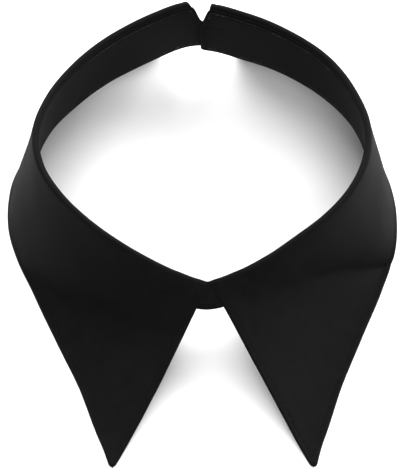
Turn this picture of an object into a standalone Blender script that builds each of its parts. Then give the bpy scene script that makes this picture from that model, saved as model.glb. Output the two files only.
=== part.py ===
"""A detachable shirt collar that stands by itself on a table: a neck band and two pointed falls.

Metres, +Z up. The front centre, where the two falls meet, faces -Y, and the back opening faces +Y.
LEFT is -X and RIGHT is +X, as the front view shows them.
"""
import bpy
import numpy as np

MM = 0.001
LEFT = -1
RIGHT = 1

# Cloth and seams. FOLD_INSIDE is the radius inside the roll of cloth at the fold.
CLOTH = 1.4 * MM
SEAM_GAP = 0.3 * MM
FOLD_INSIDE = 0.5 * MM
FOLD_UNDER = 0.3 * MM

# Sections round half of the neck, from the front centre (0 degrees) to the back centre (180).
# neck_left, neck_right: plan radius of the fold line on each side. crest: height of the fold's top.
# foot: height of the band's lower edge. lean: how far that edge stands out from the seam.
# hem_turn: plan angle of the fall's lower edge. hem_left, hem_right: plan radius of that edge.
# flat: how much of the fall lies flat on the table. leave: angle off the vertical at which the
# fall comes off the roll. bow: how far down it keeps that angle, as a share of its depth.
# land: how level it comes down on the table, from 0 (straight) to 1 (level).
COLUMNS = (
    "angle", "neck_left", "neck_right", "crest", "foot", "lean",
    "hem_turn", "hem_left", "hem_right", "flat", "leave", "bow", "land",
)
ANGLES_AND_SHARES = ("angle", "hem_turn", "leave", "bow", "land")
SECTIONS = (
    (0, 56.5, 56.5, 28.5, 11.5, 2.1, 16.8, 122.5, 124.6, 9.0, 58, 0.05, 0.0),
    (12, 54.8, 55.1, 30.5, 12.0, 2.0, 21.0, 111.6, 113.0, 8.0, 44, 0.10, 0.2),
    (25, 53.7, 54.1, 33.3, 12.8, 2.0, 30.0, 95.2, 96.8, 6.0, 32, 0.20, 0.3),
    (38, 53.9, 54.0, 35.8, 13.4, 2.0, 42.0, 84.2, 85.6, 4.0, 27, 0.25, 0.3),
    (52, 55.5, 56.0, 37.8, 13.8, 2.0, 56.0, 77.7, 79.4, 2.0, 22, 0.30, 0.2),
    (66, 58.3, 58.6, 39.3, 14.6, 2.0, 69.0, 76.1, 77.2, 1.0, 18, 0.30, 0.1),
    (80, 61.3, 60.6, 40.3, 16.0, 2.4, 82.0, 75.8, 74.4, 0.6, 15, 0.30, 0.0),
    (94, 62.2, 61.0, 40.8, 17.0, 3.0, 95.0, 74.5, 72.0, 0.5, 12, 0.30, 0.0),
    (108, 60.6, 59.9, 41.0, 16.6, 3.2, 108.0, 71.5, 70.3, 0.5, 10, 0.30, 0.0),
    (125, 58.5, 59.1, 41.3, 15.2, 2.6, 125.0, 70.5, 70.5, 0.5, 10, 0.30, 0.0),
    (145, 57.6, 57.7, 42.0, 14.5, 2.4, 145.0, 70.5, 70.5, 0.5, 10, 0.30, 0.0),
    (162, 58.2, 58.0, 43.0, 14.3, 2.4, 162.0, 71.5, 71.5, 0.5, 10, 0.30, 0.0),
    (180, 60.0, 60.0, 44.0, 15.7, 2.4, 180.0, 73.5, 73.5, 0.5, 10, 0.30, 0.0),
)

# The largest folds: soft troughs across the falls, from the lower edge in towards the neck.
# angle and down: where the trough starts at the edge and where it fades out, by section and by
# share of the fall's depth. deep: how far it sinks. wide: its half width in degrees of section.
TROUGH_COLUMNS = ("side", "edge_angle", "edge_down", "end_angle", "end_down", "deep", "wide")
TROUGHS = (
    (RIGHT, 66, 1.0, 26, 0.35, 1.3, 7.0),
    (LEFT, 60, 1.0, 30, 0.40, 1.0, 9.0),
)

# Ends of the pieces at the back opening, a row for each side: how far from the back centre the
# fall ends at its seam, at its crest and at its hem, how far past the centre the band ends, where
# the band's upper edge starts to dip, and how far the band steps out at its seam and at its foot.
END_COLUMNS = ("side", "at_seam", "at_crest", "at_hem", "band_past", "dip_from", "step_top", "step_foot")
ENDS = (
    (LEFT, 2.8, 4.7, 14.0, 9.0, 2.8, 1.0, 2.0),
    (RIGHT, 4.0, 4.5, 14.0, -0.5, 4.2, -0.4, -0.4),
)
STEP_RUN = 30.0
END_DIP = 9.5 * MM
END_DIP_RUN = 4.0 * MM

# The falls' front ends, and the blunt corner of each point
FRONT_GAP = 0.4 * MM
TIP_CUT = 2.2 * MM

# Shares of a fall's depth: where it comes to lie flat, and the last row before the hem
FLAT_FROM = 0.9
LAST_ROW = 0.96

# Handles of the fall's curve, as a share of its chord, and the share of a trough's length over
# which it deepens
HANDLE = 1 / 3
TROUGH_RUN = 2 / 3

# Degrees each way over which the direction of the fold line is measured
DIRECTION_STEP = 0.5

# Matt black cotton
BAND_TONE = 0.012
FALL_TONE = 0.013
ROUGHNESS = 0.9

# How finely the forms are cut
FALL_COLUMNS = 44
ROLL_ROWS = 6
LEG_ROWS = 10
BAND_COLUMNS = 84
BAND_ROWS = 6


def column(name):
    """One column of the table, with lengths in metres."""
    values = np.array([row[COLUMNS.index(name)] for row in SECTIONS], float)
    return values if name in ANGLES_AND_SHARES else values * MM


def read(name, angle):
    """A column's value at any angle, on a smooth curve through the rows."""
    places = column("angle")
    values = column(name)
    steps = np.diff(values) / np.diff(places)
    ends = (steps[0], steps[-1]) if name.startswith("hem") else (0.0, 0.0)
    slope = np.concatenate([ends[:1], (steps[:-1] + steps[1:]) / 2, ends[1:]])
    angle = np.clip(angle, places[0], places[-1])
    row = np.clip(np.searchsorted(places, angle, side="right") - 1, 0, len(places) - 2)
    span = places[row + 1] - places[row]
    t = (angle - places[row]) / span
    rising = values[row] * (1 + 2 * t) * (1 - t) ** 2 + slope[row] * span * t * (1 - t) ** 2
    falling = values[row + 1] * t**2 * (3 - 2 * t) - slope[row + 1] * span * t**2 * (1 - t)
    return rising + falling


def ease(t):
    """Zero to one with level ends."""
    t = np.clip(t, 0.0, 1.0)
    return t * t * (3 - 2 * t)


def blend(first, second, share):
    """From the first value to the second, by a share from 0 to 1."""
    return first + (second - first) * share


def length(vectors):
    """Lengths of vectors, kept as a last axis of one."""
    return np.linalg.norm(vectors, axis=-1, keepdims=True)


def plan(side, angle, radius):
    """Plan points at an angle from the front centre. Past 180 degrees they go on round the back."""
    turn = np.radians(angle)
    return np.stack([side * np.sin(turn) * radius, -np.cos(turn) * radius], axis=-1)


def at(flat, height):
    """Plan points with a height."""
    return np.concatenate([flat, np.broadcast_to(height, flat.shape[:-1])[..., None]], axis=-1)


def within(angle):
    """The angle as the table has it: past the back centre it runs back up the table."""
    return np.where(angle > 180, 360 - angle, angle)


def neck(side, angle):
    """Plan radius of the fold line. Past the back centre a piece lies along the other side."""
    left = read("neck_left", within(angle))
    right = read("neck_right", within(angle))
    return np.where((angle > 180) == (side == LEFT), right, left)


def end_of(side, name):
    """A length from the table of ends."""
    row = [row for row in ENDS if row[0] == side][0]
    return row[END_COLUMNS.index(name)] * MM


def neck_line(side, angle, share=0.0):
    """The fold line in plan. Towards the back one end steps out and the other in, more at the foot."""
    step = blend(end_of(side, "step_top"), end_of(side, "step_foot"), share)
    return plan(side, angle, neck(side, angle) + step * ease((angle - (180 - STEP_RUN)) / STEP_RUN))


def outward(side, angle):
    """Unit vectors in plan, square to the fold line and away from the neck."""
    along = neck_line(side, angle + DIRECTION_STEP) - neck_line(side, angle - DIRECTION_STEP)
    square = side * np.stack([along[..., 1], -along[..., 0]], axis=-1)
    return square / length(square)


def roll_centre(angle):
    """Height of the centre of the fold's roll."""
    return read("crest", within(angle)) - CLOTH - FOLD_INSIDE


def trough_depth(side, angle, down):
    """How far the cloth sinks at a place on the fall."""
    depth = np.zeros(angle.shape)
    for row in TROUGHS:
        trough = dict(zip(TROUGH_COLUMNS, row))
        if trough["side"] == side:
            share = (down - trough["end_down"]) / (trough["edge_down"] - trough["end_down"])
            line = blend(trough["end_angle"], trough["edge_angle"], share)
            across = np.exp(-(((angle - line) / trough["wide"]) ** 2))
            depth += trough["deep"] * MM * across * ease(share / TROUGH_RUN)
    return depth


def roll_point(side, angle, t):
    """The inside of the cloth round the fold: t goes from the seam's side of the roll to the leg."""
    leave = np.radians(read("leave", angle))
    turn = blend(np.pi, leave, t)
    reach = (FOLD_INSIDE * np.cos(turn))[..., None]
    height = roll_centre(angle) + FOLD_INSIDE * np.sin(turn)
    return at(neck_line(side, angle) + outward(side, angle) * reach, height)


def leg_point(side, angle, t):
    """The underside of the fall below the roll: down to the table, then flat on it to the hem."""
    start = roll_point(side, angle, 1.0)
    radius = read("hem_left" if side == LEFT else "hem_right", angle)
    hem = at(plan(side, read("hem_turn", angle), radius), 0.0)
    away = hem - start
    away[..., 2] = 0.0
    run = length(away)
    away = away / run
    landing = hem - away * read("flat", angle)[..., None]
    chord = length(landing - start)
    leave = np.radians(read("leave", angle))
    off = at(outward(side, angle) * np.sin(leave)[..., None], -np.cos(leave))
    first = start + off * chord * read("bow", angle)[..., None]
    level = landing - away * run * HANDLE
    second = blend(blend(landing, start, HANDLE), level, read("land", angle)[..., None])
    s = min(t / FLAT_FROM, 1.0)
    near_roll = start * (1 - s) ** 3 + 3 * first * s * (1 - s) ** 2
    near_table = 3 * second * s**2 * (1 - s) + landing * s**3
    points = near_roll + near_table + (hem - landing) * max((t - FLAT_FROM) / (1 - FLAT_FROM), 0.0)
    inward = at(away[..., :2] * start[..., 2:], run[..., 0]) / -length(hem - start)
    points = points + inward * trough_depth(side, angle, t)[..., None]
    points[..., 2] = np.maximum(points[..., 2], 0.0)
    return points


def fall_underside(side):
    """The inside of a fall as a grid of points: a row across, a column round the neck."""
    seam = end_of(side, "at_seam")
    crest = end_of(side, "at_crest")
    hem = end_of(side, "at_hem")
    rows = []

    def add_row(setback, point, t, drop=0.0):
        first = np.degrees(FRONT_GAP / neck(side, 0))
        last = 180 - np.degrees(setback / neck(side, 180))
        points = point(side, np.linspace(first, last, FALL_COLUMNS), t)
        points[..., 2] -= drop
        rows.append(points)

    add_row(seam, roll_point, 0.0, FOLD_UNDER)
    for i in range(ROLL_ROWS):
        add_row(blend(seam, crest, i / ROLL_ROWS), roll_point, i / ROLL_ROWS)
    for t in [*np.linspace(0, FLAT_FROM, LEG_ROWS), LAST_ROW, 1.0]:
        add_row(blend(crest, hem, t), leg_point, t)
    grid = np.array(rows)
    inward = (grid[-2, 0] + grid[-1, 1]) / 2 - grid[-1, 0]
    grid[-1, 0] += inward / length(inward) * TIP_CUT
    return grid


def band_top(side, angle):
    """Height of the band's upper edge: the seam, dipping in a round corner towards its end."""
    seam = roll_centre(angle) - FOLD_UNDER - SEAM_GAP
    from_centre = np.radians(180 - angle) * neck(side, 180)
    return seam - END_DIP * ease((end_of(side, "dip_from") - from_centre) / END_DIP_RUN)


def band_outside():
    """The outer face of the band as a grid of points, from its left end round the front to its right."""
    ends = [180 + np.degrees(end_of(side, "band_past") / neck(side, 180)) for side in (LEFT, RIGHT)]
    share = np.linspace(0, 1, BAND_ROWS + 1)
    columns = []
    for turn in np.linspace(-ends[0], ends[1], BAND_COLUMNS):
        side = LEFT if turn < 0 else RIGHT
        angle = np.full(BAND_ROWS + 1, abs(turn))
        foot = read("foot", within(angle))
        seam = roll_centre(angle) - FOLD_UNDER - SEAM_GAP
        height = blend(band_top(side, angle), foot, share)
        down = (seam - height) / (seam - foot)
        stand = read("lean", within(angle)) * down - FOLD_INSIDE
        columns.append(at(neck_line(side, angle, down) + outward(side, angle) * stand[:, None], height))
    return np.array(columns).transpose(1, 0, 2)


def cloth_piece(name, grid, thicken, material):
    """One piece of cloth: an open surface through a grid of points, thickened to one side."""
    rows, columns = grid.shape[:2]
    mesh = bpy.data.meshes.new(name)
    faces = []
    for row in range(rows - 1):
        for col in range(columns - 1):
            here = row * columns + col
            faces.append((here, here + 1, here + columns + 1, here + columns))
    mesh.from_pydata(grid.reshape(-1, 3).tolist(), [], faces)
    mesh.shade_smooth()
    mesh.materials.append(material)
    obj = bpy.data.objects.new(name, mesh)
    group = bpy.data.collections.new(name)
    bpy.context.scene.collection.children.link(group)
    group.objects.link(obj)
    solid = obj.modifiers.new("cloth", "SOLIDIFY")
    solid.thickness = CLOTH
    solid.offset = thicken
    solid.use_even_offset = True
    solid.use_rim = True
    return obj


def cloth_material(name, tone):
    """Matt black cotton."""
    material = bpy.data.materials.new(name)
    material.use_nodes = True
    shader = material.node_tree.nodes["Principled BSDF"]
    shader.inputs["Base Color"].default_value = (tone, tone, tone, 1)
    shader.inputs["Roughness"].default_value = ROUGHNESS
    return material


def clear_scene():
    """Starts from an empty scene."""
    for obj in list(bpy.data.objects):
        bpy.data.objects.remove(obj)


def centre_on_origin(pieces):
    """Moves the meshes so that the origin is at the middle of the part's box, on the table."""
    bpy.context.view_layer.update()
    graph = bpy.context.evaluated_depsgraph_get()
    corners = np.array([corner[:] for piece in pieces for corner in piece.evaluated_get(graph).bound_box])
    middle = (corners.min(axis=0) + corners.max(axis=0)) / 2
    for piece in pieces:
        for vertex in piece.data.vertices:
            vertex.co.x -= middle[0]
            vertex.co.y -= middle[1]


def main():
    """Builds the three pieces."""
    clear_scene()
    band_cloth = cloth_material("band_cloth", BAND_TONE)
    left_cloth = cloth_material("left_fall_cloth", FALL_TONE)
    right_cloth = cloth_material("right_fall_cloth", FALL_TONE)
    pieces = [
        cloth_piece("neck_band", band_outside(), 1, band_cloth),
        cloth_piece("left_fall", fall_underside(LEFT), 1, left_cloth),
        cloth_piece("right_fall", fall_underside(RIGHT), -1, right_cloth),
    ]
    centre_on_origin(pieces)


main()
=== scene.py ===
"""The detachable collar dressed for its picture: fine cloth shells, seams, stitches, floor and light.

Metres, +Z up. The shells follow the same sections as the part's own source, cut finer, with the
creases, turned edges and sewing added. LEFT is -X and RIGHT is +X.
"""

import math

import bpy
import numpy as np
from mathutils import Matrix, Vector
from mathutils.kdtree import KDTree


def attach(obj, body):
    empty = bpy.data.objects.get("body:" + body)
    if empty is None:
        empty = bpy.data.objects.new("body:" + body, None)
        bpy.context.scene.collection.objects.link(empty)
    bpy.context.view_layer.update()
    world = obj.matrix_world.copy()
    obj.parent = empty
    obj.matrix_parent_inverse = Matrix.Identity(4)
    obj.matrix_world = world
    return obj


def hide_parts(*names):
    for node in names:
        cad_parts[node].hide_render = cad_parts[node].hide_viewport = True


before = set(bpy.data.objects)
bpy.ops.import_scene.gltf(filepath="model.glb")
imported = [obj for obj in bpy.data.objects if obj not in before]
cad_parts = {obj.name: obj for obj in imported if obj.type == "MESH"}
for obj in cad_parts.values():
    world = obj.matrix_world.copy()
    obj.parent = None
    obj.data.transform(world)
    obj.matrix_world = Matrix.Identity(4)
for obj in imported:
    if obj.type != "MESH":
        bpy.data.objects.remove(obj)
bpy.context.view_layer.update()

MM = 0.001
TINY = 1e-12
LEFT = -1
RIGHT = 1

# Cloth and seams. FOLD_INSIDE is the radius inside the roll of cloth at the fold.
CLOTH = 1.0 * MM
SEAM_GAP = 0.14 * MM
FOLD_INSIDE = 0.45 * MM
ROLL_RADIUS = FOLD_INSIDE + CLOTH / 2

# Sections round half of the neck, from the front centre (0 degrees) to the back centre (180).
# neck_left, neck_right: plan radius of the fold line on each side. crest: height of the fold's top.
# foot: height of the band's lower edge. lean: how far that edge stands out from the seam.
# hem_turn: plan angle of the fall's lower edge. hem_left, hem_right: plan radius of that edge.
# flat: how much of the fall lies flat on the table. leave: angle off the vertical at which the
# fall comes off the roll. bow: how far down it keeps that angle, as a share of its depth.
# land: how level it comes down on the table, from 0 (straight) to 1 (level).
# seam: how far up the roll the seam runs, along the cloth from the neck side of the roll, or how
# far down the band where it is negative.
COLUMNS = (
    "angle", "neck_left", "neck_right", "crest", "foot", "lean",
    "hem_turn", "hem_left", "hem_right", "flat", "leave", "bow", "land", "seam",
)
ANGLES_AND_SHARES = ("angle", "hem_turn", "leave", "bow", "land")
SECTIONS = (
    (0, 56.5, 56.5, 28.5, 11.5, 2.5, 16.8, 122.5, 124.6, 9.0, 58, 0.05, 0.0, 1.5),
    (12, 54.8, 55.1, 30.5, 12.0, 2.3, 21.0, 111.6, 113.0, 8.0, 44, 0.10, 0.2, 0.8),
    (25, 53.7, 54.1, 33.3, 12.8, 2.0, 30.0, 95.2, 96.8, 6.0, 32, 0.20, 0.3, 0.1),
    (38, 53.9, 54.0, 35.8, 13.4, 2.0, 42.0, 84.2, 85.6, 4.0, 27, 0.25, 0.3, -0.2),
    (52, 55.5, 56.0, 37.8, 13.8, 2.0, 56.0, 77.7, 79.4, 2.0, 22, 0.30, 0.2, -0.3),
    (66, 58.3, 58.6, 39.3, 14.6, 2.0, 69.0, 76.1, 77.2, 1.0, 18, 0.30, 0.1, -0.4),
    (80, 61.3, 60.6, 40.3, 17.0, 2.0, 82.0, 75.8, 74.4, 0.6, 15, 0.30, 0.0, -0.6),
    (94, 62.2, 61.0, 40.8, 18.0, 2.3, 95.0, 74.5, 72.0, 0.5, 12, 0.30, 0.0, -0.8),
    (108, 60.6, 59.9, 41.0, 17.4, 2.2, 108.0, 71.5, 70.3, 0.5, 10, 0.30, 0.0, -0.9),
    (125, 58.5, 59.1, 41.3, 15.2, 1.4, 125.0, 70.5, 70.5, 0.5, 10, 0.30, 0.0, -0.9),
    (145, 57.6, 57.7, 42.0, 14.5, 1.0, 145.0, 70.5, 70.5, 0.5, 10, 0.30, 0.0, -0.9),
    (162, 58.2, 58.0, 43.0, 14.3, 1.0, 162.0, 71.5, 71.5, 0.5, 10, 0.30, 0.0, -0.9),
    (180, 60.0, 60.0, 44.0, 15.7, 1.0, 180.0, 73.5, 73.5, 0.5, 10, 0.30, 0.0, -0.9),
)

# Ends of the pieces, a row for each side, in millimetres: how far from the back centre the
# fall ends at its seam, at its crest and at its hem, how far past the centre the band ends, where
# the band's upper edge starts to dip, how far the band steps out at its seam and at its foot, how
# far its lower corner is rounded up over what run, and how far the fall's front edge bows in.
END_COLUMNS = (
    "side", "at_seam", "at_crest", "at_hem", "band_past", "dip_from", "step_top", "step_foot",
    "corner_up", "corner_run", "front_bow",
)
ENDS = (
    (LEFT, 2.8, 4.7, 14.0, 9.0, 2.8, 1.0, 2.0, 1.4, 12.0, 0.0),
    (RIGHT, 4.0, 4.5, 14.0, -0.5, 4.2, -0.4, -0.4, 1.3, 2.6, 1.5),
)

# The band steps in or out over the last degrees to the back centre, and its upper edge dips at its ends
STEP_TURN = 30.0
END_DIP = 9.5 * MM
END_DIP_RUN = 4.0 * MM

# At the front centre: half of the gap between the falls, how far the fold dips and how far the falls
# stand out over the band's edge, each over a turn in degrees, and where the front edge bows most
FRONT_GAP = 0.4 * MM
FRONT_DIP = 1.1 * MM
FRONT_DIP_TURN = 2.0
FALL_PROUD = 0.45 * MM
FALL_PROUD_TURN = 16
BOW_POWER = 0.6

# The solids' fold is wider, so this narrower one is moved to keep the outlines seen from the front:
# the neck side of the fold at the front, and its outer side at the back
FOLD_MOVE = 0.45 * MM

# Where the centre of the sections lies in the row frame
RING_CENTRE = np.array([0.88, 22.41, 0.0]) * MM

# The rounding of the points, how many radii it reaches, and the rows and columns of the grid over
# which the two sides of a point are measured
TIP_RADIUS = 1.5 * MM
TIP_REACH = 2
TIP_ROWS = 11
TIP_COLUMNS = 23

# Creases of the falls, each a line through its rows. angle and down: a place on the fall, by
# section and by share of its depth. deep: how far the cloth sinks there, or rises where it is
# negative. above, below: how far its sides reach towards the neck and towards the hem. round: how
# softly its bottom is rounded.
CREASE_COLUMNS = ("side", "crease", "angle", "down", "deep", "above", "below", "round")
CREASES = (
    (RIGHT, "trough", 68, 1.06, 1.0, 4.0, 7.0, 1.0),
    (RIGHT, "trough", 60, 0.84, 3.0, 7.0, 11.0, 1.4),
    (RIGHT, "trough", 51, 0.58, 5.2, 8.0, 14.0, 1.8),
    (RIGHT, "trough", 38, 0.40, 5.4, 8.0, 16.0, 2.2),
    (RIGHT, "trough", 25, 0.30, 3.6, 7.0, 16.0, 2.6),
    (RIGHT, "trough", 11, 0.26, 1.8, 6.0, 13.0, 3.0),
    (RIGHT, "hem_fold", 65, 1.00, 1.5, 1.3, 1.8, 0.4),
    (RIGHT, "hem_fold", 61, 0.84, 1.3, 2.0, 2.4, 0.6),
    (RIGHT, "hem_fold", 56, 0.70, 0.0, 3.0, 4.0, 1.0),
    (RIGHT, "front_pull", 9, 0.30, 0.0, 2.0, 3.0, 1.0),
    (RIGHT, "front_pull", 6, 0.38, 0.3, 2.0, 3.0, 1.0),
    (RIGHT, "front_pull", 3, 0.50, 0.0, 2.0, 3.0, 1.0),
    (RIGHT, "point_roll", 20, 0.98, -0.3, 5.0, 5.0, 3.0),
    (RIGHT, "point_roll", 10, 0.90, -0.4, 5.0, 5.0, 3.0),
    (RIGHT, "back_dent", 104, 1.00, 0.9, 5.0, 7.0, 2.0),
    (RIGHT, "back_dent", 112, 0.62, 0.7, 6.0, 8.0, 3.0),
    (RIGHT, "back_dent", 118, 0.40, 0.0, 6.0, 6.0, 3.0),
    (RIGHT, "back_pull", 152, 1.00, 0.6, 4.0, 5.0, 1.5),
    (RIGHT, "back_pull", 146, 0.55, 0.3, 5.0, 5.0, 2.0),
    (LEFT, "trough", 64, 0.96, 0.3, 8.0, 6.0, 3.0),
    (LEFT, "trough", 54, 0.84, 2.0, 10.0, 8.0, 3.5),
    (LEFT, "trough", 43, 0.68, 4.0, 12.0, 11.0, 3.5),
    (LEFT, "trough", 32, 0.54, 5.4, 12.0, 13.0, 3.5),
    (LEFT, "trough", 20, 0.45, 5.2, 10.0, 14.0, 3.5),
    (LEFT, "trough", 7, 0.40, 3.2, 8.0, 13.0, 3.0),
    (LEFT, "shoulder", 70, 0.90, -0.4, 8.0, 5.0, 2.5),
    (LEFT, "shoulder", 60, 0.66, -1.0, 9.0, 5.0, 2.5),
    (LEFT, "shoulder", 48, 0.42, -1.0, 8.0, 6.0, 3.0),
    (LEFT, "shoulder", 36, 0.26, -0.4, 6.0, 6.0, 3.0),
    (LEFT, "front_pull", 13, 0.52, 0.0, 1.5, 2.0, 0.8),
    (LEFT, "front_pull", 7, 0.53, 0.5, 1.5, 2.5, 0.6),
    (LEFT, "front_pull", 1, 0.57, 0.6, 1.2, 2.5, 0.5),
    (LEFT, "side_dent", 92, 1.00, 0.7, 6.0, 8.0, 2.0),
    (LEFT, "side_dent", 98, 0.55, 0.4, 7.0, 8.0, 3.0),
    (LEFT, "back_dent", 128, 1.00, 0.8, 5.0, 6.0, 2.0),
    (LEFT, "back_dent", 120, 0.60, 0.5, 6.0, 7.0, 3.0),
    (LEFT, "back_dent", 116, 0.45, 0.0, 6.0, 6.0, 3.0),
    (LEFT, "back_pull", 158, 0.95, 0.5, 4.0, 4.0, 1.5),
    (LEFT, "back_pull", 163, 0.50, 0.3, 4.0, 4.0, 2.0),
)

# The stretches of a crease are blended by their distance in millimetres plus this, to this power,
# and the corners of its line are cut this often, at this share of each stretch
CREASE_BLEND = 1.0
CREASE_POWER = 4
CORNER_CUTS = 3
CORNER_SHARE = 0.25

# Near the table the creases fade to this share, over this height. They start at the fold and are
# full at this share of the fall's depth.
LEAST_CREASE = 0.45
CREASE_CLEAR = 7.0 * MM
CALM_SHARE = 0.25

# Long shallow waves of handled cloth: how high, and how long round the neck and down, in
# millimetres, and where in its turn each starts, in radians. Each piece shifts that start. The
# band's waves are lower. They begin a little below its seam and are full a run further down.
WAVE_COLUMNS = ("high", "round_neck", "down", "start")
WAVES = (
    (0.09, 63, 47, 0.3),
    (0.05, 41, -38, 1.7),
    (0.025, 24, 27, 4.1),
    (0.012, 11, -16, 2.6),
)
FALL_WAVE_START = 1.3
BAND_WAVE_START = 0.4
BAND_WAVE_SHARE = 0.8
BAND_CALM = 3.0 * MM
BAND_CALM_RUN = 6.0 * MM

# Turned edges and stitched lines: how far in from the edge the cloth is full and how thin it is at
# the edge, how far in the stitches lie, and the soft groove that they pull into the cloth. The
# band's second row is at the front only: its groove fades over one turn and its stitches end at another.
EDGE_ROUND = 0.55 * MM
EDGE_THIN = 0.22
SEAM_ROUND = 0.50 * MM
SEAM_THIN = 0.30
FALL_STITCH_IN = 2.2 * MM
FOOT_STITCH_IN = 1.9 * MM
FOOT_SECOND_IN = 3.4 * MM
SEAM_STITCH_IN = 1.5 * MM
GROOVE_WIDE = 0.55 * MM
GROOVE_DEEP = 0.09 * MM
SECOND_GROOVE_TURN = 30
SECOND_STITCH_TURN = 40

# A line of stitches starts only where the edge is nearer than this share of its distance, and keeps
# only the places where no other edge is nearer than this share
START_SHARE = 0.5
CLEAR_SHARE = 0.97

# Thread. A stitch is a row of rings: where each lies along half of the stitch, and how full it is.
STITCH_LONG = 2.0 * MM
STITCH_STEP = 2.6 * MM
THREAD_WIDE = 0.12 * MM
THREAD_SIDES = 6
THREAD_LEAST = 0.15
RINGS = ((-1.0, 0.0), (-0.8, 0.75), (-0.3, 1.0), (0.3, 1.0), (0.8, 0.75), (1.0, 0.0))

# How finely the forms are cut. The band's rows are closer near its seam, by a power.
FALL_COLUMNS = 380
ROLL_ROWS = 16
LEG_ROWS = 84
BAND_COLUMNS = 640
BAND_ROWS = 64
BAND_SPREAD = 1.6

# A fall is flat on the table from this share of its rows. The lower handle of its curve lies about
# this share of the way back to the roll. Its bends are evened out this often along each column.
FLAT_FROM = 0.9
HANDLE = 1 / 3
SMOOTHINGS = 60

# The step in degrees that gives a line's direction, and the parts that each edge's stretch is cut
# into before distances from it are measured
DIRECTION_STEP = 0.5
EDGE_STEPS = 8

# Cloth: the weave, thicker threads in it, slow clouds of tone, and how it takes the light
WEAVE_STEP = 0.42 * MM
SLUB_SCALE = 900
SLUB_DETAIL = 3
SLUB_HIGH = 1.6
WEAVE_BUMP = 0.6
WEAVE_DEEP = 0.08 * MM
CLOUD_SCALE = 210
CLOUD_DETAIL = 6
CLOUD_ROUGHNESS = 0.62
CLOUD_SHARE = 0.7
CLOTH_TONES = ((0.36, 0.70), (0.64, 1.30))
CLOTH_ROUGHNESS = (0.62, 0.74)
SPECULAR = 0.05
SHEEN = 0.006
SHEEN_ROUGHNESS = 0.45
SHEEN_TINT = (0.85, 0.88, 1.0, 1)

# Each cloth's tone, its tint, and what shifts its clouds. The three pieces are one cotton: their tones
# differ as painted light and shade, the band a little lighter and each fall's tone set to the light it
# gets.
BAND_COTTON = (0.0030, (1.0, 1.0, 1.02), 0)
LEFT_COTTON = (0.0027, (1.0, 1.0, 1.02), 3)
RIGHT_COTTON = (0.0026, (1.0, 1.0, 1.03), 7)

# Thread: its darkest and lightest tones, and how it changes between them along its rows
BLACK_THREAD = (0.001, 0.003)
# Lighter thread for the band's inside stitches: its pale spots are painted glints of the thread's sheen
GLINT_THREAD = (0.008, 0.09)
THREAD_SCALE = 420
THREAD_DETAIL = 5
THREAD_TONES = (0.44, 0.62)
THREAD_ROUGHNESS = 0.6

# Floor
FLOOR_REACH = 6.0
FLOOR_TONE = 0.88
FLOOR_ROUGHNESS = 0.9
FLOOR_SPECULAR = 0.1

# Lights: from where (azimuth from the front, elevation, in degrees), how far, how wide, how strong
LIGHT_COLUMNS = ("name", "azimuth", "elevation", "away", "wide", "watts")
LIGHTS = (
    ("right_behind", 130, 25, 1.6, 1.2, 43),
    ("left_behind", -158, 24, 1.6, 1.2, 34),
    ("behind", 180, 66, 1.6, 1.2, 24),
    ("front", 0, 42, 1.6, 1.2, 17),
)
WORLD_LIGHT = 0.24

# The camera of the photograph: its angle, its distance from the neck ring's centre, where that
# centre lies in the frame in pixels, and how many pixels the ring's width takes
FRAME_WIDE = 400
FRAME_TALL = 471
ELEVATION = 57.0
AZIMUTH = 1.5
DISTANCE = 0.7
CENTRE_X = 203.5
CENTRE_Y = 152.0
RING_PIXELS = 326
RING_WIDE = 122 * MM
RING_HEIGHT = 30 * MM
SENSOR = 36.0


def column(name):
    """One column of the table, with lengths in metres."""
    values = np.array([row[COLUMNS.index(name)] for row in SECTIONS], float)
    return values if name in ANGLES_AND_SHARES else values * MM


def read(name, angle):
    """A column's value at any angle, on a smooth curve through the rows."""
    places = column("angle")
    values = column(name)
    steps = np.diff(values) / np.diff(places)
    ends = (steps[0], steps[-1]) if name.startswith("hem") else (0.0, 0.0)
    slope = np.concatenate([ends[:1], (steps[:-1] + steps[1:]) / 2, ends[1:]])
    angle = np.clip(angle, places[0], places[-1])
    row = np.clip(np.searchsorted(places, angle, side="right") - 1, 0, len(places) - 2)
    span = places[row + 1] - places[row]
    t = (angle - places[row]) / span
    rising = values[row] * (1 + 2 * t) * (1 - t) ** 2 + slope[row] * span * t * (1 - t) ** 2
    falling = values[row + 1] * t**2 * (3 - 2 * t) - slope[row + 1] * span * t**2 * (1 - t)
    return rising + falling


def ease(t):
    """Zero to one with level ends."""
    t = np.clip(t, 0.0, 1.0)
    return t * t * (3 - 2 * t)


def blend(first, second, share):
    """From the first value to the second, by a share from 0 to 1."""
    return first + (second - first) * share


def length(vectors):
    """Lengths of vectors, kept as a last axis of one."""
    return np.linalg.norm(vectors, axis=-1, keepdims=True)


def plan(side, angle, radius):
    """Plan points at an angle from the front centre. Past 180 degrees they go on round the back."""
    turn = np.radians(angle)
    return np.stack([side * np.sin(turn) * radius, -np.cos(turn) * radius], axis=-1)


def at(flat, height):
    """Plan points with a height."""
    return np.concatenate([flat, np.broadcast_to(height, flat.shape[:-1])[..., None]], axis=-1)


def within(angle):
    """The angle as the table has it: past the back centre it runs back up the table."""
    return np.where(angle > 180, 360 - angle, angle)


def neck(side, angle):
    """Plan radius of the fold line. Past the back centre a piece lies along the other side."""
    left = read("neck_left", within(angle))
    right = read("neck_right", within(angle))
    line = np.where((angle > 180) == (side == LEFT), right, left)
    return line - FOLD_MOVE * np.cos(np.radians(angle))


def end_of(side, name):
    """A length from the table of ends."""
    row = [row for row in ENDS if row[0] == side][0]
    return row[END_COLUMNS.index(name)] * MM


def neck_line(side, angle, share=0.0):
    """The fold line in plan. Towards the back one end steps out and the other in, more at the foot."""
    step = blend(end_of(side, "step_top"), end_of(side, "step_foot"), share)
    return plan(side, angle, neck(side, angle) + step * ease((angle - (180 - STEP_TURN)) / STEP_TURN))


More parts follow.
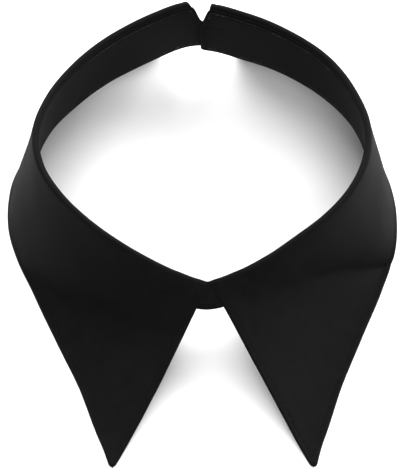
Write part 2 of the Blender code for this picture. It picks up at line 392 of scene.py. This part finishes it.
def outward(side, angle):
    """Unit vectors in plan, square to the fold line and away from the neck."""
    along = neck_line(side, angle + DIRECTION_STEP) - neck_line(side, angle - DIRECTION_STEP)
    square = side * np.stack([along[..., 1], -along[..., 0]], axis=-1)
    return square / length(square)


def roll_centre(angle):
    """Height of the centre of the fold's roll. It dips a little where the falls meet at the front."""
    dip = FRONT_DIP * np.exp(-((angle / FRONT_DIP_TURN) ** 2))
    return read("crest", within(angle)) - CLOTH - FOLD_INSIDE - dip


def roll_point(side, angle, turn, radius):
    """A point round the fold, at a turn in degrees from the outer side."""
    turn = np.radians(turn)
    reach = (radius * np.cos(turn))[..., None]
    height = roll_centre(angle) + radius * np.sin(turn)
    return at(neck_line(side, angle) + outward(side, angle) * reach, height)


def neck_side_point(side, angle, run, radius=ROLL_RADIUS):
    """Mid-cloth, by the run along it from the neck side of the roll: up round the roll, or down."""
    centre = roll_centre(angle)
    share = np.maximum(-run, 0) / (centre - read("foot", within(angle)))
    stand = read("lean", within(angle)) * share - ROLL_RADIUS
    wall = at(neck_line(side, angle, share) + outward(side, angle) * stand[..., None], centre + run)
    on_roll = roll_point(side, angle, 180 - np.degrees(np.maximum(run, 0) / ROLL_RADIUS), radius)
    return np.where(run[..., None] > 0, on_roll, wall)


def proud(angle):
    """How far the falls stand out over the band's top edge: a little, near the front centre."""
    return FALL_PROUD * np.exp(-((angle / FALL_PROUD_TURN) ** 2))


def leg_point(side, angle, t):
    """The underside of the fall below the roll: down to the table, then flat on it."""
    start = roll_point(side, angle, read("leave", angle), FOLD_INSIDE + proud(angle))
    radius = read("hem_left" if side == LEFT else "hem_right", angle)
    hem = at(plan(side, read("hem_turn", angle), radius), 0.0)
    away = hem - start
    away[..., 2] = 0.0
    run = length(away)
    away = away / run
    landing = hem - away * read("flat", angle)[..., None]
    chord = length(landing - start)
    leave = np.radians(read("leave", angle))
    off = at(outward(side, angle) * np.sin(leave)[..., None], -np.cos(leave))
    first = start + off * chord * read("bow", angle)[..., None]
    level = landing - away * run * HANDLE
    second = blend(blend(landing, start, HANDLE), level, read("land", angle)[..., None])
    s = min(t / FLAT_FROM, 1.0)
    near_roll = start * (1 - s) ** 3 + 3 * first * s * (1 - s) ** 2
    near_table = 3 * second * s**2 * (1 - s) + landing * s**3
    return near_roll + near_table + (hem - landing) * max((t - FLAT_FROM) / (1 - FLAT_FROM), 0.0)


def fall_angles(side, setback, t=0.0):
    """The sections of one row of a fall, from its front edge to a setback from the back centre."""
    bow = end_of(side, "front_bow") * np.sin(np.pi * t**BOW_POWER)
    first = np.degrees((FRONT_GAP + bow) / neck(side, 0))
    last = 180 - np.degrees(setback / neck(side, 180))
    return np.linspace(first, last, FALL_COLUMNS)


def fall_middle(side):
    """The middle of a fall's cloth as a grid, with its sections and the share of its depth by row.

    A row runs round the neck. The first rows go round the roll and the others down to the hem.
    """
    seam = end_of(side, "at_seam")
    crest = end_of(side, "at_crest")
    hem = end_of(side, "at_hem")
    roll = []
    for i in range(ROLL_ROWS):
        angle = fall_angles(side, blend(seam, crest, i / ROLL_ROWS))
        last = np.radians(180 - read("leave", angle)) * ROLL_RADIUS
        run = blend(read("seam", angle) + SEAM_GAP / 2, last, i / ROLL_ROWS)
        roll.append(neck_side_point(side, angle, run, ROLL_RADIUS + proud(angle)))
    downs = np.linspace(0, 1, LEG_ROWS + 1)
    leg = np.array([leg_point(side, fall_angles(side, blend(crest, hem, t), t), t) for t in downs])
    leg = round_tip(smooth_down(leg))
    leg = leg + normals_of(leg) * side * CLOTH / 2
    downs = np.concatenate([np.zeros(ROLL_ROWS), downs])
    return np.concatenate([np.array(roll), leg]), fall_angles(side, crest), downs


def smooth_down(grid):
    """Evens out the bend where the fall comes down on the table, along each column."""
    for _ in range(SMOOTHINGS):
        inner = (grid[:-2] + 2 * grid[1:-1] + grid[2:]) / 4
        grid = np.concatenate([grid[:1], inner, grid[-1:]])
    return grid


def round_tip(grid):
    """Rounds the corner where the front edge meets the hem, in plan, to a radius."""
    tip = grid[-1, 0, :2]
    up = grid[-TIP_ROWS, 0, :2] - tip
    back = grid[-1, TIP_COLUMNS, :2] - tip
    up = up / np.linalg.norm(up)
    back = back / np.linalg.norm(back)
    middle = (up + back) / np.linalg.norm(up + back)
    half = np.arccos(middle @ up)
    depth = TIP_RADIUS / np.sin(half)
    centre = tip + middle * depth
    spoke = grid[..., :2] - centre
    reach = np.maximum(np.linalg.norm(spoke, axis=-1), TINY)
    off = np.arccos(np.clip(-(spoke @ middle) / reach, -1, 1))
    inside = np.maximum(np.pi / 2 - half - off, 0.0)
    near = np.linalg.norm(grid[..., :2] - tip, axis=-1) < TIP_REACH * depth
    turned = grid.copy()
    turned[..., :2] = centre + spoke * np.where(near, np.cos(inside), 1.0)[..., None]
    return turned


def segment_share(place, start, end):
    """Each place's nearest share along a segment, its distance, and how much it is on the hem's side.

    The last goes from 0, on the neck's side, to 1.
    """
    line = end - start
    share = np.clip(((place - start) * line).sum(-1) / (line * line).sum(), 0.0, 1.0)
    off = place - start - share[..., None] * line
    away = np.linalg.norm(off, axis=-1)
    return share, away, 0.5 + 0.5 * off[..., 1] / (away + CREASE_BLEND)


def soft_line(rows):
    """The rows of a crease with their corners cut, so that it bends softly."""
    for _ in range(CORNER_CUTS):
        near = blend(rows[:-1], rows[1:], CORNER_SHARE)
        far = blend(rows[1:], rows[:-1], CORNER_SHARE)
        cut = np.stack([near, far], axis=1).reshape(-1, rows.shape[1])
        rows = np.concatenate([rows[:1], cut, rows[-1:]])
    return rows


def crease_depth(side, angle, down, arc, deep):
    """How far the cloth sinks at each place of a fall. arc: degrees in a millimetre round the neck.

    deep: the fall's depth in millimetres.
    """
    place = np.stack(np.broadcast_arrays(angle[None, :] / arc, down[:, None] * deep), axis=-1)
    rows = [row for row in CREASES if row[0] == side]
    depth = np.zeros(place.shape[:-1])
    for name in dict.fromkeys(row[1] for row in rows):
        line = soft_line(np.array([row[2:] for row in rows if row[1] == name], float))
        line[:, :2] = line[:, :2] * (1 / arc, deep)
        sunk = np.zeros(depth.shape)
        weights = np.zeros(depth.shape)
        for first, second in zip(line[:-1], line[1:]):
            share, off, below = segment_share(place, first[:2], second[:2])
            sinks, above_wide, below_wide, bottom = (
                blend(start, end, share) for start, end in zip(first[2:], second[2:])
            )
            wide = blend(above_wide, below_wide, below)
            fade = np.exp(-(np.hypot(off, bottom) - bottom) / wide)
            weight = (off + CREASE_BLEND) ** -CREASE_POWER
            sunk += weight * sinks * fade
            weights += weight
        depth += sunk / weights * MM
    return depth


def wave_height(around, down, shift):
    """Long shallow waves, from places in millimetres."""
    height = np.zeros(np.broadcast(around, down).shape)
    for row in WAVES:
        wave = dict(zip(WAVE_COLUMNS, row))
        turn = 2 * np.pi * (around / wave["round_neck"] + down / wave["down"])
        height = height + wave["high"] * MM * np.sin(turn + wave["start"] + shift)
    return height


def normals_of(grid):
    """Unit vectors square to a grid of points."""
    across = np.gradient(grid, axis=1)
    along = np.gradient(grid, axis=0)
    square = np.cross(along, across)
    return square / np.maximum(length(square), TINY)


def lengths_along(grid, axis):
    """Length run along a grid's rows or columns, from its first point."""
    steps = np.linalg.norm(np.diff(grid, axis=axis), axis=-1)
    zero = np.zeros_like(np.take(steps, [0], axis=axis))
    return np.cumsum(np.concatenate([zero, steps], axis=axis), axis=axis)


def edge_distance(grid, edges):
    """Distance of each grid point from the nearest of some edges of the grid."""
    fine = []
    for edge in edges:
        for share in np.arange(EDGE_STEPS) / EDGE_STEPS:
            fine.append(blend(edge[:-1], edge[1:], share))
        fine.append(edge[-1:])
    fine = np.concatenate(fine)
    tree = KDTree(len(fine))
    for index, point in enumerate(fine.tolist()):
        tree.insert(point, index)
    tree.balance()
    found = [tree.find(point)[2] for point in grid.reshape(-1, 3).tolist()]
    return np.array(found).reshape(grid.shape[:2])


def groove(distance, place):
    """A soft groove along a stitched line, at a distance in from an edge."""
    return GROOVE_DEEP * np.exp(-(((distance - place) / GROOVE_WIDE) ** 2))


def half_thickness(edge, seam):
    """Half of the cloth's thickness, thinner and rounded at its turned edges and at its seam."""
    half = CLOTH / 2
    for distance, reach, thin in ((edge, EDGE_ROUND, EDGE_THIN), (seam, SEAM_ROUND, SEAM_THIN)):
        share = np.clip(distance / reach, 0.0, 1.0)
        half = half * (thin + (1 - thin) * np.sqrt(1 - (1 - share) ** 2))
    return half


def new_object(name, mesh, material):
    """A mesh with its material, as an object in the scene."""
    mesh.materials.append(material)
    obj = bpy.data.objects.new(name, mesh)
    bpy.context.scene.collection.objects.link(obj)
    return obj


def shell_mesh(name, outer, inner, around, down, material):
    """A closed thin shell between two grids of points, with a map in metres for its weave."""
    rows, columns = outer.shape[:2]
    count = rows * columns
    points = np.concatenate([outer.reshape(-1, 3), inner.reshape(-1, 3)])
    row, col = np.meshgrid(np.arange(rows - 1), np.arange(columns - 1), indexing="ij")
    here = (row * columns + col).ravel()
    quads = np.stack([here, here + 1, here + columns + 1, here + columns], axis=1)
    back = quads[:, ::-1] + count
    top = np.arange(columns)
    right = np.arange(rows) * columns + columns - 1
    bottom = (rows - 1) * columns + np.arange(columns)[::-1]
    left = (np.arange(rows) * columns)[::-1]
    ring = np.concatenate([top[:-1], right[:-1], bottom[:-1], left[:-1]])
    after = np.roll(ring, -1)
    rim = np.stack([after, ring, ring + count, after + count], axis=1)
    faces = np.concatenate([quads, back, rim])
    mesh = bpy.data.meshes.new(name)
    mesh.from_pydata(points.tolist(), [], faces.tolist())
    layer = mesh.uv_layers.new(name="cloth")
    places = np.stack([around.ravel(), down.ravel()], axis=1)
    places = np.concatenate([places, places])
    loops = np.empty(len(mesh.loops), np.int32)
    mesh.loops.foreach_get("vertex_index", loops)
    layer.data.foreach_set("uv", places[loops].ravel())
    mesh.shade_smooth()
    return new_object(name, mesh, material)


def line_at(distance, place, by_rows, backwards=False):
    """Grid places (row, column) where one edge's distance reaches a value, walking in from it."""
    field = distance if by_rows else distance.T
    if backwards:
        field = field[:, ::-1]
    found = []
    for index, values in enumerate(field):
        past = np.nonzero(values >= place)[0]
        if len(past) and past[0] > 0 and values[0] < place * START_SHARE:
            hit = past[0]
            share = (place - values[hit - 1]) / (values[hit] - values[hit - 1])
            where = hit - 1 + share
            if backwards:
                where = len(values) - 1 - where
            found.append((index, where) if by_rows else (where, index))
    return np.array(found)


def sample(grid, places):
    """Values of a grid at fractional (row, column) places."""
    whole = np.clip(places.astype(int), 0, np.array(grid.shape[:2]) - 2)
    row, col = whole.T
    row_share, col_share = np.clip(places - whole, 0.0, 1.0).T[..., None]
    above = grid[row, col] * (1 - col_share) + grid[row, col + 1] * col_share
    below = grid[row + 1, col] * (1 - col_share) + grid[row + 1, col + 1] * col_share
    return above * (1 - row_share) + below * row_share


def on_path(values, run, place):
    """A value at a length along a path, from the path's values and the length run to each."""
    return np.array([np.interp(place, run, values[:, k]) for k in range(3)])


def stitch_frame(path, square, run, centre):
    """The middle of a stitch, and unit vectors along it, across it and up from the cloth."""
    middle, ahead, behind = (
        on_path(path, run, place)
        for place in (centre, centre + STITCH_LONG / 2, centre - STITCH_LONG / 2)
    )
    along = ahead - behind
    along = along / np.linalg.norm(along)
    up = on_path(square, run, centre)
    up = up - along * (up @ along)
    up = up / np.linalg.norm(up)
    return middle, along, np.cross(up, along), up


def stitch_points(middle, along, across, up):
    """Rings of points of one stitch, which sinks into the cloth at both ends."""
    points = []
    for place, full in RINGS:
        base = middle + along * place * STITCH_LONG / 2 - up * THREAD_WIDE * (1 - full)
        radius = max(full, THREAD_LEAST) * THREAD_WIDE
        for k in range(THREAD_SIDES):
            turn = 2 * np.pi * k / THREAD_SIDES
            points.append(base + (across * np.cos(turn) + up * np.sin(turn)) * radius)
    return points


def stitch_faces(first):
    """Faces between the rings of one stitch, and over its ends, from the place of its first point."""
    faces = []
    for i in range(len(RINGS) - 1):
        for k in range(THREAD_SIDES):
            here = first + i * THREAD_SIDES + k
            beside = first + i * THREAD_SIDES + (k + 1) % THREAD_SIDES
            faces.append((here, beside, beside + THREAD_SIDES, here + THREAD_SIDES))
    last = first + (len(RINGS) - 1) * THREAD_SIDES
    faces.append(tuple(range(first + THREAD_SIDES - 1, first - 1, -1)))
    faces.append(tuple(range(last, last + THREAD_SIDES)))
    return faces


def stitches(name, surface, normals, lines, material):
    """Threads along lines of a surface: one small rounded stitch after another."""
    points = []
    faces = []
    for line in lines:
        path = sample(surface, line)
        square = sample(normals, line)
        run = np.concatenate([[0], np.cumsum(np.linalg.norm(np.diff(path, axis=0), axis=1))])
        for centre in np.arange(STITCH_STEP, run[-1] - STITCH_STEP / 2, STITCH_STEP):
            faces.extend(stitch_faces(len(points)))
            points.extend(stitch_points(*stitch_frame(path, square, run, centre)))
    mesh = bpy.data.meshes.new(name)
    mesh.from_pydata(np.array(points).tolist(), [], faces)
    mesh.shade_smooth()
    return new_object(name, mesh, material)


def creased_fall(side):
    """The middle of a fall's cloth with its creases and waves, and the lengths run round and down it."""
    middle, angle, down = fall_middle(side)
    normal = normals_of(middle) * side
    arc = 1.0 / (np.mean(neck(side, angle)) / MM * np.radians(1))
    around = lengths_along(middle, 1)
    across = lengths_along(middle, 0)
    depth = np.mean(across[-1]) / MM
    sink = crease_depth(side, angle, down, arc, depth)
    wave = wave_height(around / MM, across / MM, FALL_WAVE_START * side)
    calm = ease(down / CALM_SHARE)[:, None]
    clear = blend(LEAST_CREASE, 1.0, ease(middle[..., 2] / CREASE_CLEAR))
    move = (wave - sink * clear) * calm
    return middle + normal * move[..., None], around, across


def fall_stitch_line(side, apart, near):
    """Places of a fall's stitches: down its front edge, along its hem and up its back end.

    apart: distances from the front edge, the hem and the back end. near: from the nearest of them.
    """
    front = line_at(apart[0], FALL_STITCH_IN, True, backwards=side == LEFT)
    hem = line_at(apart[1], FALL_STITCH_IN, False, backwards=True)
    back = line_at(apart[2], FALL_STITCH_IN, True, backwards=side == RIGHT)
    if side == LEFT:
        hem = hem[::-1]
    line = np.concatenate([front, hem, back[::-1]])
    line = line[line[:, 0] > ROLL_ROWS // 2]
    return line[sample(near[..., None], line)[:, 0] > FALL_STITCH_IN * CLEAR_SHARE]


def build_fall(side, name, node, material, thread):
    """One fall: its shell with creases and turned edges, and its topstitching."""
    middle, around, across = creased_fall(side)
    apart = [edge_distance(middle, [edge]) for edge in (middle[:, 0], middle[-1], middle[:, -1])]
    near = np.min(apart, axis=0)
    half = half_thickness(near, edge_distance(middle, [middle[0]]))
    normal = normals_of(middle) * side
    middle[..., 2] = np.maximum(middle[..., 2], half)
    outer = middle + normal * (half - groove(near, FALL_STITCH_IN))[..., None] + RING_CENTRE
    inner = middle - normal * half[..., None] + RING_CENTRE
    inner[..., 2] = np.maximum(inner[..., 2], 0.0)
    if side == LEFT:
        grids = (outer, inner, around, across, near, normal, *apart)
        outer, inner, around, across, near, normal, *apart = [grid[:, ::-1] for grid in grids]
    shell = shell_mesh(name, outer, inner, around, across, material)
    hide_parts(node)
    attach(shell, "root")
    line = fall_stitch_line(side, apart, near)
    sewn = stitches(name + "_topstitch", outer, normal, [line], thread)
    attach(sewn, "root")
    return shell, sewn


def band_column(side, angle):
    """The middle of the band's cloth at one section: from the seam down to its lower edge."""
    from_centre = np.radians(180 - angle) * neck(side, 180)
    dip = END_DIP * ease((end_of(side, "dip_from") - from_centre) / END_DIP_RUN)
    top = read("seam", within(angle)) - SEAM_GAP / 2 - dip
    past = (end_of(side, "band_past") + from_centre) / end_of(side, "corner_run")
    corner = end_of(side, "corner_up") * (1 - np.sqrt(1 - (1 - np.clip(past, 0, 1)) ** 2))
    tall = roll_centre(angle) - read("foot", within(angle))
    runs = blend(top, corner - tall, np.linspace(0, 1, BAND_ROWS) ** BAND_SPREAD)
    return neck_side_point(side, np.full(runs.shape, angle), runs)


def build_band(name, material, thread, inner_thread):
    """The neck band: its shell up to the seam on the roll, with stitches along seam and foot."""
    ends = [180 + np.degrees(end_of(side, "band_past") / neck(side, 180)) for side in (LEFT, RIGHT)]
    turns = np.linspace(-ends[0], ends[1], BAND_COLUMNS)
    grid = []
    for turn in turns:
        grid.append(band_column(LEFT if turn < 0 else RIGHT, abs(turn)))
    middle = np.array(grid).transpose(1, 0, 2)
    around = lengths_along(middle, 1)
    across = lengths_along(middle, 0)
    normal = normals_of(middle)
    wave = wave_height(around / MM, across / MM, BAND_WAVE_START)
    calm = ease((across - BAND_CALM) / BAND_CALM_RUN)
    middle = middle + normal * (wave * calm * BAND_WAVE_SHARE)[..., None]
    foot = edge_distance(middle, [middle[-1]])
    top = edge_distance(middle, [middle[0]])
    sides = edge_distance(middle, [middle[:, 0], middle[:, -1]])
    half = half_thickness(np.minimum(foot, sides), top)
    front = np.exp(-((turns / SECOND_GROOVE_TURN) ** 2))[None, :]
    cut = groove(foot, FOOT_STITCH_IN) + groove(top, SEAM_STITCH_IN) + groove(foot, FOOT_SECOND_IN) * front
    outer = middle + normal * (half - cut)[..., None] + RING_CENTRE
    inner = middle - normal * (half - cut)[..., None] + RING_CENTRE
    shell = shell_mesh(name, outer, inner, around, across, material)
    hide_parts("neck_band")
    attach(shell, "root")
    foot_line = line_at(foot, FOOT_STITCH_IN, False, backwards=True)
    seam_line = line_at(top, SEAM_STITCH_IN, False)
    second = line_at(foot, FOOT_SECOND_IN, False, backwards=True)
    second = second[np.abs(turns[second[:, 1].astype(int)]) < SECOND_STITCH_TURN]
    inside = stitches(name + "_inner_stitch", inner, -normal, [foot_line, seam_line], inner_thread)
    outside = stitches(name + "_outer_stitch", outer, normal, [foot_line, second], thread)
    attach(inside, "root")
    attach(outside, "root")
    return shell, inside, outside


def link(tree, start, end):
    """Joins two sockets of a node tree."""
    tree.links.new(start, end)


def math_node(tree, operation, first, second):
    """A Math node on two sockets or numbers."""
    node = tree.nodes.new("ShaderNodeMath")
    node.operation = operation
    for socket, value in zip(node.inputs, (first, second)):
        if isinstance(value, (int, float)):
            socket.default_value = value
        else:
            link(tree, value, socket)
    return node.outputs[0]


def new_material(name):
    """A material, its node tree and its shader."""
    material = bpy.data.materials.new(name)
    material.use_nodes = True
    tree = material.node_tree
    return material, tree, tree.nodes["Principled BSDF"]


def noise_node(tree, place, scale, detail):
    """A Noise texture at a place."""
    noise = tree.nodes.new("ShaderNodeTexNoise")
    noise.inputs["Scale"].default_value = scale
    noise.inputs["Detail"].default_value = detail
    link(tree, place, noise.inputs["Vector"])
    return noise


def ramp_node(tree, value, stops):
    """A colour ramp between two stops, each a position and a colour."""
    ramp = tree.nodes.new("ShaderNodeValToRGB")
    for element, (position, colour) in zip(ramp.color_ramp.elements, stops):
        element.position = position
        element.color = (*colour, 1)
    link(tree, value, ramp.inputs[0])
    return ramp.outputs[0]


def weave_bump(tree, place, slub):
    """The relief of a plain weave with a few thicker threads."""
    split = tree.nodes.new("ShaderNodeSeparateXYZ")
    link(tree, place, split.inputs[0])
    warp, weft = (
        math_node(tree, "SINE", math_node(tree, "MULTIPLY", output, 2 * math.pi / WEAVE_STEP), 0.0)
        for output in split.outputs[:2]
    )
    weave = math_node(tree, "MULTIPLY", warp, weft)
    height = math_node(tree, "ADD", weave, math_node(tree, "MULTIPLY", slub, SLUB_HIGH))
    bump = tree.nodes.new("ShaderNodeBump")
    bump.inputs["Strength"].default_value = WEAVE_BUMP
    bump.inputs["Distance"].default_value = WEAVE_DEEP
    link(tree, height, bump.inputs["Height"])
    return bump.outputs[0]


def cloth_material(name, tone, tint, shift):
    """Matt black cotton: a fine plain weave, a soft bloom, and slow changes of tone."""
    material, tree, shader = new_material(name)
    place = tree.nodes.new("ShaderNodeUVMap")
    place.uv_map = "cloth"
    slub = noise_node(tree, place.outputs[0], SLUB_SCALE, SLUB_DETAIL).outputs[0]
    link(tree, weave_bump(tree, place.outputs[0], slub), shader.inputs["Normal"])
    spot = tree.nodes.new("ShaderNodeTexCoord")
    cloud_node = noise_node(tree, spot.outputs["Object"], CLOUD_SCALE + shift, CLOUD_DETAIL)
    cloud_node.inputs["Roughness"].default_value = CLOUD_ROUGHNESS
    cloud = cloud_node.outputs[0]
    both = math_node(tree, "ADD", math_node(tree, "MULTIPLY", cloud, CLOUD_SHARE),
                     math_node(tree, "MULTIPLY", slub, 1 - CLOUD_SHARE))
    stops = [(position, [c * tone * share for c in tint]) for position, share in CLOTH_TONES]
    link(tree, ramp_node(tree, both, stops), shader.inputs["Base Color"])
    rough = tree.nodes.new("ShaderNodeMapRange")
    rough.inputs["To Min"].default_value, rough.inputs["To Max"].default_value = CLOTH_ROUGHNESS
    link(tree, cloud, rough.inputs["Value"])
    link(tree, rough.outputs[0], shader.inputs["Roughness"])
    shader.inputs["Specular IOR Level"].default_value = SPECULAR
    shader.inputs["Sheen Weight"].default_value = SHEEN
    shader.inputs["Sheen Roughness"].default_value = SHEEN_ROUGHNESS
    shader.inputs["Sheen Tint"].default_value = SHEEN_TINT
    return material


def thread_material(name, dark, light):
    """Black sewing thread: uneven in tone along its rows, between two tones. With the inside thread's
    lighter tones the pale spots are painted glints of sheen.
    """
    material, tree, shader = new_material(name)
    spot = tree.nodes.new("ShaderNodeTexCoord")
    tone_and_glint = noise_node(tree, spot.outputs["Object"], THREAD_SCALE, THREAD_DETAIL)
    stops = [(position, [tone] * 3) for position, tone in zip(THREAD_TONES, (dark, light))]
    link(tree, ramp_node(tree, tone_and_glint.outputs[0], stops), shader.inputs["Base Color"])
    shader.inputs["Roughness"].default_value = THREAD_ROUGHNESS
    shader.inputs["Specular IOR Level"].default_value = SPECULAR
    return material


def floor_piece():
    """A wide pale floor."""
    mesh = bpy.data.meshes.new("floor")
    corners = [(x * FLOOR_REACH, y * FLOOR_REACH, 0) for x, y in ((-1, -1), (1, -1), (1, 1), (-1, 1))]
    mesh.from_pydata(corners, [], [(0, 1, 2, 3)])
    material, _, shader = new_material("floor_paper")
    shader.inputs["Base Color"].default_value = (FLOOR_TONE, FLOOR_TONE, FLOOR_TONE, 1)
    shader.inputs["Roughness"].default_value = FLOOR_ROUGHNESS
    shader.inputs["Specular IOR Level"].default_value = FLOOR_SPECULAR
    new_object("floor", mesh, material)


def light_pieces():
    """Plain soft studio lights, and an even pale world."""
    for row in LIGHTS:
        light = dict(zip(LIGHT_COLUMNS, row))
        lamp = bpy.data.lights.new(light["name"], "AREA")
        lamp.energy = light["watts"]
        lamp.size = light["wide"]
        obj = bpy.data.objects.new(light["name"], lamp)
        turn = math.radians(light["azimuth"])
        rise = math.radians(light["elevation"])
        away = Vector((math.sin(turn) * math.cos(rise), -math.cos(turn) * math.cos(rise), math.sin(rise)))
        obj.location = away * light["away"]
        obj.rotation_euler = away.to_track_quat("Z", "Y").to_euler()
        bpy.context.scene.collection.objects.link(obj)
    world = bpy.data.worlds.new("studio")
    world.use_nodes = True
    world.node_tree.nodes["Background"].inputs["Color"].default_value = (1, 1, 1, 1)
    world.node_tree.nodes["Background"].inputs["Strength"].default_value = WORLD_LIGHT
    bpy.context.scene.world = world


def camera_piece():
    """The camera, aimed so that the ring's centre falls where the photograph has it."""
    rise = math.radians(ELEVATION)
    turn = math.radians(AZIMUTH)
    forward = Vector((math.sin(turn) * math.cos(rise), math.cos(turn) * math.cos(rise), -math.sin(rise)))
    right = Vector((math.cos(turn), -math.sin(turn), 0))
    up = right.cross(forward)
    focal = RING_PIXELS / RING_WIDE * DISTANCE
    target = Vector(RING_CENTRE) + Vector((0, 0, RING_HEIGHT))
    aside = (CENTRE_X - FRAME_WIDE / 2) * DISTANCE / focal
    above = (FRAME_TALL / 2 - CENTRE_Y) * DISTANCE / focal
    data = bpy.data.cameras.new("camera")
    data.sensor_fit = "HORIZONTAL"
    data.sensor_width = SENSOR
    data.lens = focal / FRAME_WIDE * SENSOR
    obj = bpy.data.objects.new("camera", data)
    turned = Matrix((right, up, -forward)).transposed().to_4x4()
    place = target - forward * DISTANCE - right * aside - up * above
    obj.matrix_world = Matrix.Translation(place) @ turned
    bpy.context.scene.collection.objects.link(obj)
    bpy.context.scene.camera = obj
    bpy.context.scene.view_settings.view_transform = "Standard"


def main():
    """Builds everything."""
    band_cloth = cloth_material("band_cotton", *BAND_COTTON)
    left_cloth = cloth_material("left_fall_cotton", *LEFT_COTTON)
    right_cloth = cloth_material("right_fall_cotton", *RIGHT_COTTON)
    thread = thread_material("black_thread", *BLACK_THREAD)
    # The band's inside stitches get the lighter thread, whose pale spots are painted glints
    glint_thread = thread_material("black_thread_painted_glints", *GLINT_THREAD)
    band = build_band("band_cloth", band_cloth, thread, glint_thread)
    left = build_fall(LEFT, "left_fall_cloth", "left_fall", left_cloth, thread)
    right = build_fall(RIGHT, "right_fall_cloth", "right_fall", right_cloth, thread)
    floor_piece()
    light_pieces()
    camera_piece()


main()
bpy.context.view_layer.update()
